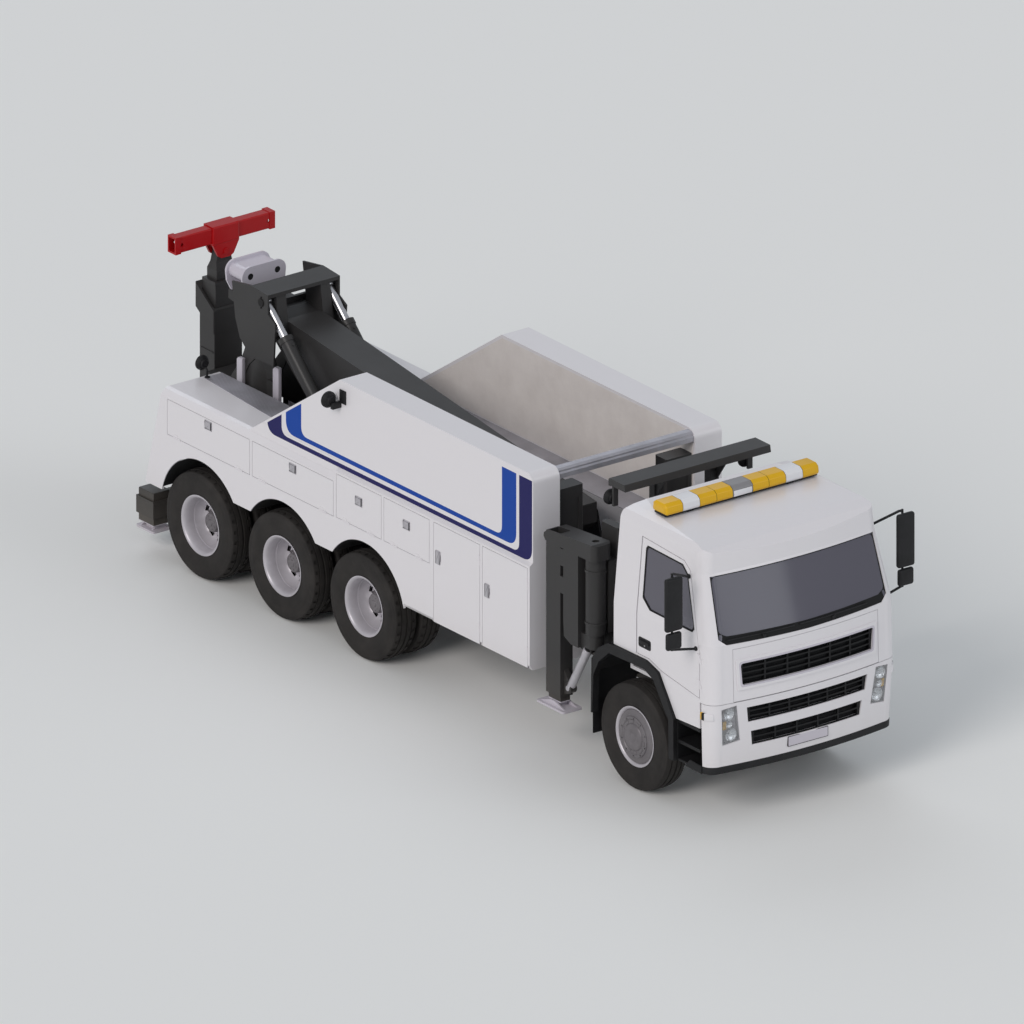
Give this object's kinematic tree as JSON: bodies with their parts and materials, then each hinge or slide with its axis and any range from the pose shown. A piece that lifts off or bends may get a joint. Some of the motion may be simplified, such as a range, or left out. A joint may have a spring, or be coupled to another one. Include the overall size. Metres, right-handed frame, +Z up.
{
  "type": "heavy tow truck",
  "caption": "Heavy recovery truck with a cab over the engine, twin-tyred rear axles, lockered wrecker body, lifting boom, folding underlift and stabiliser legs.",
  "frame": {"origin": "on the ground under the middle of the truck's length, on its centre plane", "axes": "+X to the truck's left, +Y to its rear, +Z up"},
  "size_m": [3.24, 10.4356, 3.2999],
  "materials": {
    "frame_black": "satin black chassis paint",
    "body_white": "gloss white paint",
    "boom_charcoal": "gloss charcoal paint",
    "arm_charcoal": "satin dark grey paint",
    "red_paint": "gloss red paint",
    "roller_paint": "pale grey paint",
    "steel_rod": "polished steel",
    "tread_plate": "tread plate",
    "tyre": "black rubber",
    "black_plastic": "moulded black plastic",
    "grille_dark": "dark slats",
    "glass": "tinted glass",
    "amber": "amber lens",
    "lamp_black": "black lamp housing",
    "seat_fabric": "woven seat cover",
    "interior": "dark interior plastic",
    "cast": "cast iron"
  },
  "bodies": {
    "truck": {"chassis_frame": "frame_black", "leaf_springs": "cast", "axles": "cast", "driveline": "cast", "cab_shell": "body_white", "windscreen": "glass", "front_panel": "body_white", "bumper": "body_white", "grilles": "grille_dark", "side_body_right": "body_white", "side_body_left": "body_white", "deck_plates": "tread_plate", "control_cabinets": "body_white", "subframe": "frame_black", "underlift_mast": "arm_charcoal", "headboard": "arm_charcoal", "front_mudguards": "black_plastic", "light_bar": "amber", "lamps": "lamp_black", "dashboard": "interior", "cab_seats": "seat_fabric"},
    "knuckle_right": {"steering_knuckle_right": "cast"},
    "front_wheel_right": {"front_wheel_right": "tyre"},
    "knuckle_left": {"steering_knuckle_left": "cast"},
    "front_wheel_left": {"front_wheel_left": "tyre"},
    "rear_wheel_1_right": {"rear_wheel_1_right": "tyre"},
    "rear_wheel_1_left": {"rear_wheel_1_left": "tyre"},
    "rear_wheel_2_right": {"rear_wheel_2_right": "tyre"},
    "rear_wheel_2_left": {"rear_wheel_2_left": "tyre"},
    "rear_wheel_3_right": {"rear_wheel_3_right": "tyre"},
    "rear_wheel_3_left": {"rear_wheel_3_left": "tyre"},
    "cab_door_right": {"cab_door_right": "body_white", "door_mirrors_right": "black_plastic"},
    "cab_door_left": {"cab_door_left": "body_white", "door_mirrors_left": "black_plastic"},
    "front_locker_door_right": {"front_locker_door_right": "body_white"},
    "front_locker_door_left": {"front_locker_door_left": "body_white"},
    "tool_locker_door_right": {"tool_locker_door_right": "body_white"},
    "tool_locker_door_left": {"tool_locker_door_left": "body_white"},
    "chain_locker_door_right": {"chain_locker_door_right": "body_white"},
    "chain_locker_door_left": {"chain_locker_door_left": "body_white"},
    "rope_locker_door_right": {"rope_locker_door_right": "body_white"},
    "rope_locker_door_left": {"rope_locker_door_left": "body_white"},
    "middle_locker_door_right": {"middle_locker_door_right": "body_white"},
    "middle_locker_door_left": {"middle_locker_door_left": "body_white"},
    "rear_locker_door_right": {"rear_locker_door_right": "body_white"},
    "rear_locker_door_left": {"rear_locker_door_left": "body_white"},
    "outrigger_arm_right": {"outrigger_arm_right": "arm_charcoal"},
    "outrigger_leg_right": {"outrigger_leg_right": "arm_charcoal"},
    "rear_leg_right": {"rear_leg_right": "arm_charcoal"},
    "outrigger_arm_left": {"outrigger_arm_left": "arm_charcoal"},
    "outrigger_leg_left": {"outrigger_leg_left": "arm_charcoal"},
    "rear_leg_left": {"rear_leg_left": "arm_charcoal"},
    "boom": {"recovery_boom": "boom_charcoal", "boom_roller_head": "roller_paint"},
    "lift_barrels": {"lift_cylinder_barrels": "arm_charcoal"},
    "lift_rods": {"lift_cylinder_rods": "steel_rod"},
    "underlift": {"underlift_arm": "arm_charcoal"},
    "underlift_extension": {"underlift_extension": "arm_charcoal"},
    "crosshead": {"crosshead": "red_paint"}
  },
  "joints": [
    {"name": "steer_right", "type": "hinge", "parent": "truck", "child": "knuckle_right", "pos_m": [-0.88, -3.701, 0.592], "axis": [0, 0, 1], "range_deg": [-35, 35]},
    {"name": "steer_left", "type": "hinge", "parent": "truck", "child": "knuckle_left", "pos_m": [0.88, -3.701, 0.592], "axis": [0, 0, 1], "range_deg": [-35, 35]},
    {"name": "cab_door_hinge_right", "type": "hinge", "parent": "truck", "child": "cab_door_right", "pos_m": [-1.224, -4.913, 1.8], "axis": [0, 0, 1], "range_deg": [0, 72]},
    {"name": "cab_door_hinge_left", "type": "hinge", "parent": "truck", "child": "cab_door_left", "pos_m": [1.224, -4.913, 1.8], "axis": [0, 0, -1], "range_deg": [0, 72]},
    {"name": "front_locker_hinge_right", "type": "hinge", "parent": "truck", "child": "front_locker_door_right", "pos_m": [-1.277, -1.995, 1.4], "axis": [0, 0, 1], "range_deg": [0, 105]},
    {"name": "front_locker_hinge_left", "type": "hinge", "parent": "truck", "child": "front_locker_door_left", "pos_m": [1.277, -1.995, 1.4], "axis": [0, 0, -1], "range_deg": [0, 105]},
    {"name": "tool_locker_hinge_right", "type": "hinge", "parent": "truck", "child": "tool_locker_door_right", "pos_m": [-1.277, -1.163, 1.4], "axis": [0, 0, 1], "range_deg": [0, 105]},
    {"name": "tool_locker_hinge_left", "type": "hinge", "parent": "truck", "child": "tool_locker_door_left", "pos_m": [1.277, -1.163, 1.4], "axis": [0, 0, -1], "range_deg": [0, 105]},
    {"name": "chain_locker_hinge_right", "type": "hinge", "parent": "truck", "child": "chain_locker_door_right", "pos_m": [-1.277, 0.104, 1.479], "axis": [0, -1, 0], "range_deg": [0, 90]},
    {"name": "chain_locker_hinge_left", "type": "hinge", "parent": "truck", "child": "chain_locker_door_left", "pos_m": [1.277, 0.104, 1.479], "axis": [0, 1, 0], "range_deg": [0, 90]},
    {"name": "rope_locker_hinge_right", "type": "hinge", "parent": "truck", "child": "rope_locker_door_right", "pos_m": [-1.277, 0.9335, 1.479], "axis": [0, -1, 0], "range_deg": [0, 90]},
    {"name": "rope_locker_hinge_left", "type": "hinge", "parent": "truck", "child": "rope_locker_door_left", "pos_m": [1.277, 0.9335, 1.479], "axis": [0, 1, 0], "range_deg": [0, 90]},
    {"name": "middle_locker_hinge_right", "type": "hinge", "parent": "truck", "child": "middle_locker_door_right", "pos_m": [-1.277, 2.0795, 1.473], "axis": [0, -1, 0], "range_deg": [0, 90]},
    {"name": "middle_locker_hinge_left", "type": "hinge", "parent": "truck", "child": "middle_locker_door_left", "pos_m": [1.277, 2.0795, 1.473], "axis": [0, 1, 0], "range_deg": [0, 90]},
    {"name": "rear_locker_hinge_right", "type": "hinge", "parent": "truck", "child": "rear_locker_door_right", "pos_m": [-1.277, 3.5425, 1.473], "axis": [0, -1, 0], "range_deg": [0, 90]},
    {"name": "rear_locker_hinge_left", "type": "hinge", "parent": "truck", "child": "rear_locker_door_left", "pos_m": [1.277, 3.5425, 1.473], "axis": [0, 1, 0], "range_deg": [0, 90]},
    {"name": "outrigger_swing_right", "type": "hinge", "parent": "truck", "child": "outrigger_arm_right", "pos_m": [-1.11, -2.965, 2], "axis": [0, 0, 1], "range_deg": [0, 90]},
    {"name": "outrigger_leg_slide_right", "type": "slide", "parent": "outrigger_arm_right", "child": "outrigger_leg_right", "axis": [0, 0, -1], "range_m": [0, 0.525]},
    {"name": "rear_leg_slide_right", "type": "slide", "parent": "truck", "child": "rear_leg_right", "axis": [0, 0, -1], "range_m": [0, 0.215]},
    {"name": "outrigger_swing_left", "type": "hinge", "parent": "truck", "child": "outrigger_arm_left", "pos_m": [1.11, -2.965, 2], "axis": [0, 0, -1], "range_deg": [0, 90]},
    {"name": "outrigger_leg_slide_left", "type": "slide", "parent": "outrigger_arm_left", "child": "outrigger_leg_left", "axis": [0, 0, -1], "range_m": [0, 0.525]},
    {"name": "rear_leg_slide_left", "type": "slide", "parent": "truck", "child": "rear_leg_left", "axis": [0, 0, -1], "range_m": [0, 0.215]},
    {"name": "boom_lift", "type": "hinge", "parent": "truck", "child": "boom", "pos_m": [0, -1.101, 1.93], "axis": [1, 0, 0], "range_deg": [0, 25]},
    {"name": "lift_barrel_tilt", "type": "hinge", "parent": "truck", "child": "lift_barrels", "pos_m": [0, 2.004, 1.29], "axis": [1, 0, 0], "range_deg": [0, 33.04]},
    {"name": "lift_rod_slide", "type": "slide", "parent": "lift_barrels", "child": "lift_rods", "axis": [0, 0.7187, 0.6954], "range_m": [0, 1.3118]},
    {"name": "underlift_fold", "type": "hinge", "parent": "truck", "child": "underlift", "pos_m": [0, 5.024, 0.64], "axis": [-1, 0, 0], "range_deg": [0, 95]},
    {"name": "underlift_extend", "type": "slide", "parent": "underlift", "child": "underlift_extension", "axis": [0, 0, 1], "range_m": [0, 1.2]},
    {"name": "crosshead_swivel", "type": "hinge", "parent": "underlift_extension", "child": "crosshead", "pos_m": [0, 5.016, 3], "axis": [0, 1, 0], "range_deg": [-35, 35]},
    {"name": "front_wheel_spin_right", "type": "hinge", "parent": "knuckle_right", "child": "front_wheel_right", "pos_m": [-1.032, -3.701, 0.592], "axis": [1, 0, 0], "continuous": true},
    {"name": "front_wheel_spin_left", "type": "hinge", "parent": "knuckle_left", "child": "front_wheel_left", "pos_m": [1.032, -3.701, 0.592], "axis": [1, 0, 0], "continuous": true},
    {"name": "rear_wheel_1_spin_right", "type": "hinge", "parent": "truck", "child": "rear_wheel_1_right", "pos_m": [-0.932, 0.914, 0.592], "axis": [1, 0, 0], "continuous": true},
    {"name": "rear_wheel_1_spin_left", "type": "hinge", "parent": "truck", "child": "rear_wheel_1_left", "pos_m": [0.932, 0.914, 0.592], "axis": [1, 0, 0], "continuous": true},
    {"name": "rear_wheel_2_spin_right", "type": "hinge", "parent": "truck", "child": "rear_wheel_2_right", "pos_m": [-0.932, 2.334, 0.592], "axis": [1, 0, 0], "continuous": true},
    {"name": "rear_wheel_2_spin_left", "type": "hinge", "parent": "truck", "child": "rear_wheel_2_left", "pos_m": [0.932, 2.334, 0.592], "axis": [1, 0, 0], "continuous": true},
    {"name": "rear_wheel_3_spin_right", "type": "hinge", "parent": "truck", "child": "rear_wheel_3_right", "pos_m": [-0.932, 3.754, 0.592], "axis": [1, 0, 0], "continuous": true},
    {"name": "rear_wheel_3_spin_left", "type": "hinge", "parent": "truck", "child": "rear_wheel_3_left", "pos_m": [0.932, 3.754, 0.592], "axis": [1, 0, 0], "continuous": true}
  ],
  "couplings": [
    {"joint": "lift_barrel_tilt", "follows": "boom_lift", "ratio": 1.3194},
    {"joint": "lift_rod_slide", "follows": "boom_lift", "m_per_rad": 3.0018}
  ]
}
